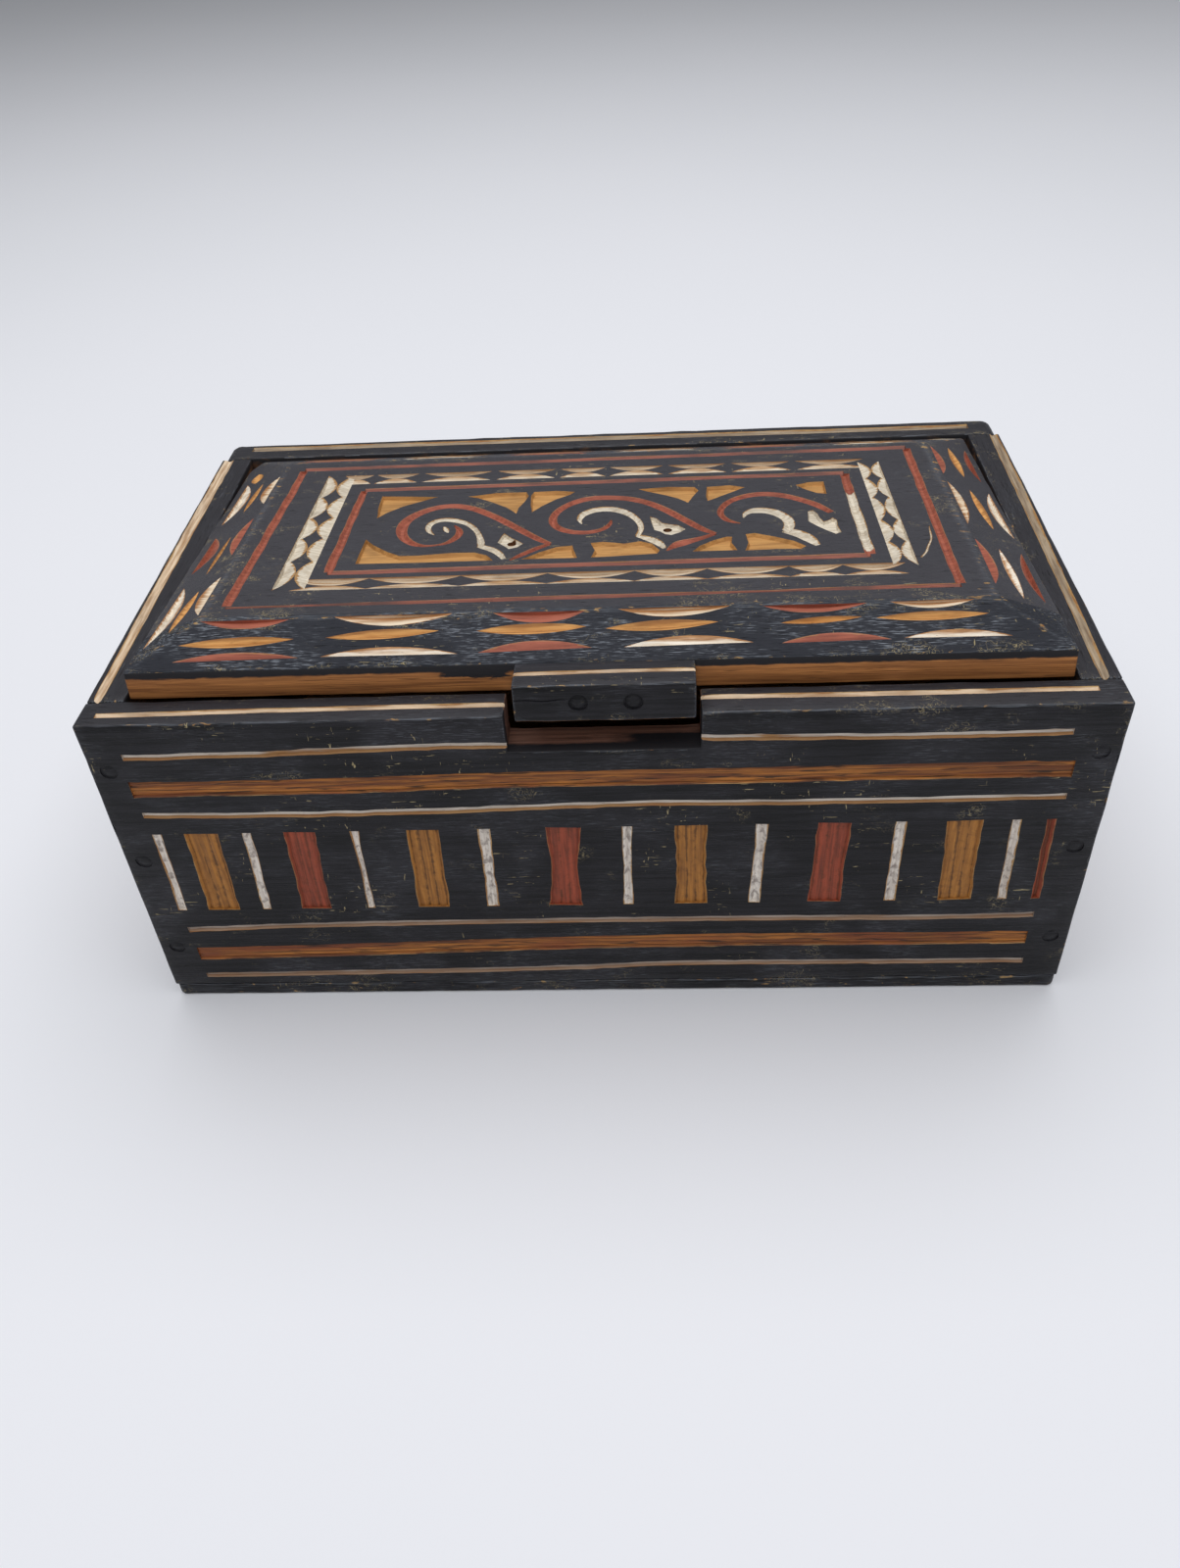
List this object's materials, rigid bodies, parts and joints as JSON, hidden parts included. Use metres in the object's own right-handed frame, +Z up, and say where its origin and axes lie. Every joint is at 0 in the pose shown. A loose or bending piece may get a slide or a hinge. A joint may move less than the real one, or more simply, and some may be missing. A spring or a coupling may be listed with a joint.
{
  "type": "wooden puzzle box",
  "caption": "Rectangular carved wooden box with a bevelled lid that see-saws on hidden pins; a block on the lid's front edge drops into a notch in the rim.",
  "frame": {"origin": "centre of the box's underside", "axes": "+X to the right along the box's length, +Y to the back, +Z up; the catch notch faces -Y"},
  "size_m": [0.2, 0.122, 0.0887],
  "materials": {
    "wall_paint": "black-painted hardwood board, chip-carved lines and bars filled with white, ochre and red paint",
    "base_paint": "black-painted thin hardwood board, worn at the edges",
    "lid_paint": "black-painted hardwood board, chip-carved and filled with white, ochre and red, front edge bare",
    "catch_paint": "black-painted hardwood block with one white groove",
    "peg_wood": "whittled hardwood pegs, heads painted black with the boards",
    "pin_wood": "bare whittled hardwood pins"
  },
  "bodies": {
    "box": {"front_wall": "wall_paint", "back_wall": "wall_paint", "left_wall": "wall_paint", "right_wall": "wall_paint", "base_board": "base_paint", "corner_peg_front_left_low": "peg_wood", "corner_peg_front_left_middle": "peg_wood", "corner_peg_front_left_high": "peg_wood", "corner_peg_front_right_low": "peg_wood", "corner_peg_front_right_middle": "peg_wood", "corner_peg_front_right_high": "peg_wood", "corner_peg_back_left_low": "peg_wood", "corner_peg_back_left_middle": "peg_wood", "corner_peg_back_left_high": "peg_wood", "corner_peg_back_right_low": "peg_wood", "corner_peg_back_right_middle": "peg_wood", "corner_peg_back_right_high": "peg_wood", "base_peg_front_1": "peg_wood", "base_peg_front_2": "peg_wood", "base_peg_front_3": "peg_wood", "base_peg_back_1": "peg_wood", "base_peg_back_2": "peg_wood", "base_peg_back_3": "peg_wood", "base_peg_left": "peg_wood", "base_peg_right": "peg_wood", "pivot_pin_left": "pin_wood", "pivot_pin_right": "pin_wood"},
    "lid": {"lid_board": "lid_paint", "catch_block": "catch_paint", "catch_peg_left": "peg_wood", "catch_peg_right": "peg_wood"}
  },
  "joints": [
    {"name": "lid_hinge", "type": "hinge", "parent": "box", "child": "lid", "pos_m": [0, 0.042, 0.0758], "axis": [-1, 0, 0], "range_deg": [-3.65, 111.35]}
  ]
}
